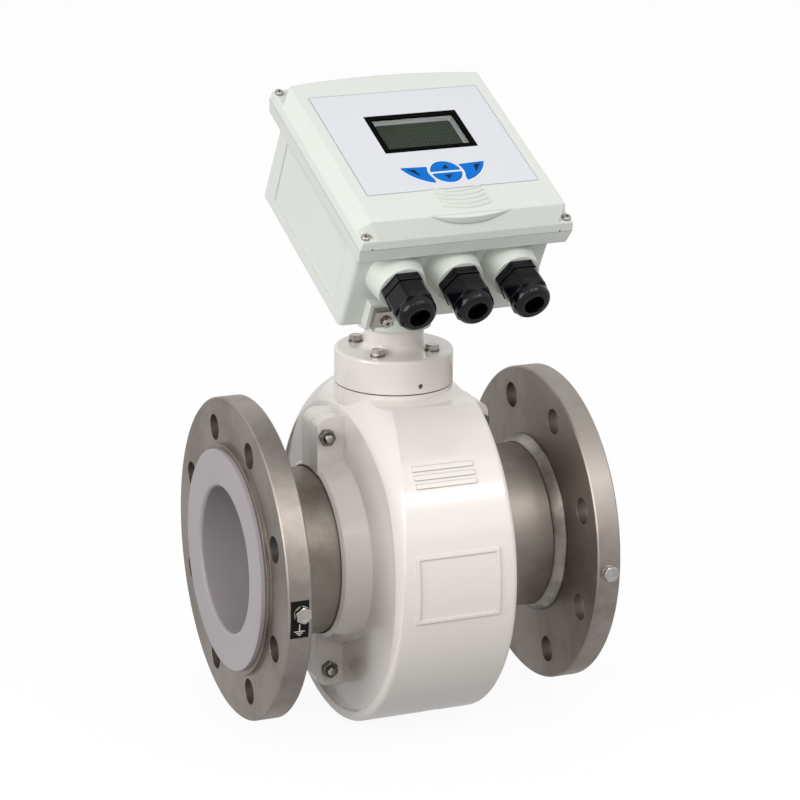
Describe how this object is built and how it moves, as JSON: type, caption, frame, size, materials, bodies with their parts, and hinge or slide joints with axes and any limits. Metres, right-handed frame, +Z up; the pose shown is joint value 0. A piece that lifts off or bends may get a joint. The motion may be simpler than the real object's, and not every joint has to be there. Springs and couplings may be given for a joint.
{
  "type": "electromagnetic flow meter",
  "caption": "Flanged pipe flow sensor in a drum housing, with a tilted display box with keys and cable glands on a swivelling neck.",
  "frame": {"origin": "centre of the measuring bore, half way between the two sealing faces", "axes": "+X along the pipe from the inlet flange to the outlet flange, +Z up through the neck, Y across with the display side at -Y"},
  "size_m": [0.25, 0.2499, 0.4398],
  "materials": {
    "stainless": "satin",
    "flange_steel": "satin",
    "weld": "rough",
    "liner": "matte",
    "fastener": "satin",
    "black_label": "matte",
    "iron": "rough",
    "copper_winding": "satin",
    "cream_paint": "gloss",
    "seal_rubber": "matte",
    "grey_plastic": "satin",
    "black_plastic": "gloss",
    "inner_plastic": "matte",
    "bright_metal": "polished",
    "circuit_board": "satin",
    "lilac_film": "satin",
    "window": "polished",
    "black_print": "satin",
    "lcd": "satin",
    "blue_key": "satin"
  },
  "bodies": {
    "sensor": {"flow_tube": "stainless", "inlet_flange": "flange_steel", "outlet_flange": "flange_steel", "weld_beads": "weld", "liner": "liner", "flange_earth_screws": "fastener", "flange_earth_washers": "fastener", "earth_label": "black_label", "measuring_electrodes": "fastener", "electrode_bushes": "inner_plastic", "pole_cores": "iron", "field_coils": "copper_winding", "field_yoke": "iron", "housing_front": "cream_paint", "housing_rear": "cream_paint", "hub_seals": "seal_rubber", "clamp_screws": "fastener", "clamp_nuts": "fastener", "turret_gasket": "seal_rubber", "turret_cap": "cream_paint", "turret_set_screw": "fastener", "turret_bolts": "fastener", "turret_washers": "fastener", "neck_lock_ring": "fastener"},
    "head": {"box_base": "grey_plastic", "gland_bodies": "black_plastic", "gland_seals": "seal_rubber", "gland_locknuts": "black_plastic", "earth_clamp": "bright_metal", "earth_clamp_screw": "bright_metal", "cover_seal": "seal_rubber", "main_board": "circuit_board", "terminal_blocks": "inner_plastic"},
    "cover": {"lid": "grey_plastic", "film_overlay": "lilac_film", "display_window": "window", "display_bezel": "black_print", "lcd_module": "lcd", "display_board": "circuit_board", "lid_screws": "bright_metal"},
    "key_left_cap": {"key_left": "blue_key"},
    "key_right_cap": {"key_right": "blue_key"},
    "key_up_cap": {"key_up": "blue_key"},
    "key_down_cap": {"key_down": "blue_key"},
    "gland_nut_1_dome": {"gland_nut_1": "black_plastic"},
    "gland_nut_2_dome": {"gland_nut_2": "black_plastic"},
    "gland_nut_3_dome": {"gland_nut_3": "black_plastic"}
  },
  "joints": [
    {"name": "head_swivel", "type": "hinge", "parent": "sensor", "child": "head", "pos_m": [-0.0025, 0, 0.19], "axis": [0, 0, 1], "range_deg": [-93, 87]},
    {"name": "cover_lift", "type": "slide", "parent": "head", "child": "cover", "axis": [0.023, -0.4393, 0.898], "range_m": [0, 0.06]},
    {"name": "key_left_press", "type": "slide", "parent": "cover", "child": "key_left_cap", "axis": [-0.023, 0.4393, -0.898], "range_m": [0, 0.0005], "stiffness_N_per_m": 1500},
    {"name": "key_right_press", "type": "slide", "parent": "cover", "child": "key_right_cap", "axis": [-0.023, 0.4393, -0.898], "range_m": [0, 0.0005], "stiffness_N_per_m": 1500},
    {"name": "key_up_press", "type": "slide", "parent": "cover", "child": "key_up_cap", "axis": [-0.023, 0.4393, -0.898], "range_m": [0, 0.0005], "stiffness_N_per_m": 1500},
    {"name": "key_down_press", "type": "slide", "parent": "cover", "child": "key_down_cap", "axis": [-0.023, 0.4393, -0.898], "range_m": [0, 0.0005], "stiffness_N_per_m": 1500},
    {"name": "gland_nut_1_turn", "type": "hinge", "parent": "head", "child": "gland_nut_1_dome", "pos_m": [-0.03715, -0.11467, 0.19823], "axis": [0.047, -0.8968, -0.4399], "range_deg": [-30, 360]},
    {"name": "gland_nut_2_turn", "type": "hinge", "parent": "head", "child": "gland_nut_2_dome", "pos_m": [0.0034, -0.11255, 0.19823], "axis": [0.047, -0.8968, -0.4399], "range_deg": [-30, 360]},
    {"name": "gland_nut_3_turn", "type": "hinge", "parent": "head", "child": "gland_nut_3_dome", "pos_m": [0.04394, -0.11042, 0.19823], "axis": [0.047, -0.8968, -0.4399], "range_deg": [-30, 360]}
  ]
}
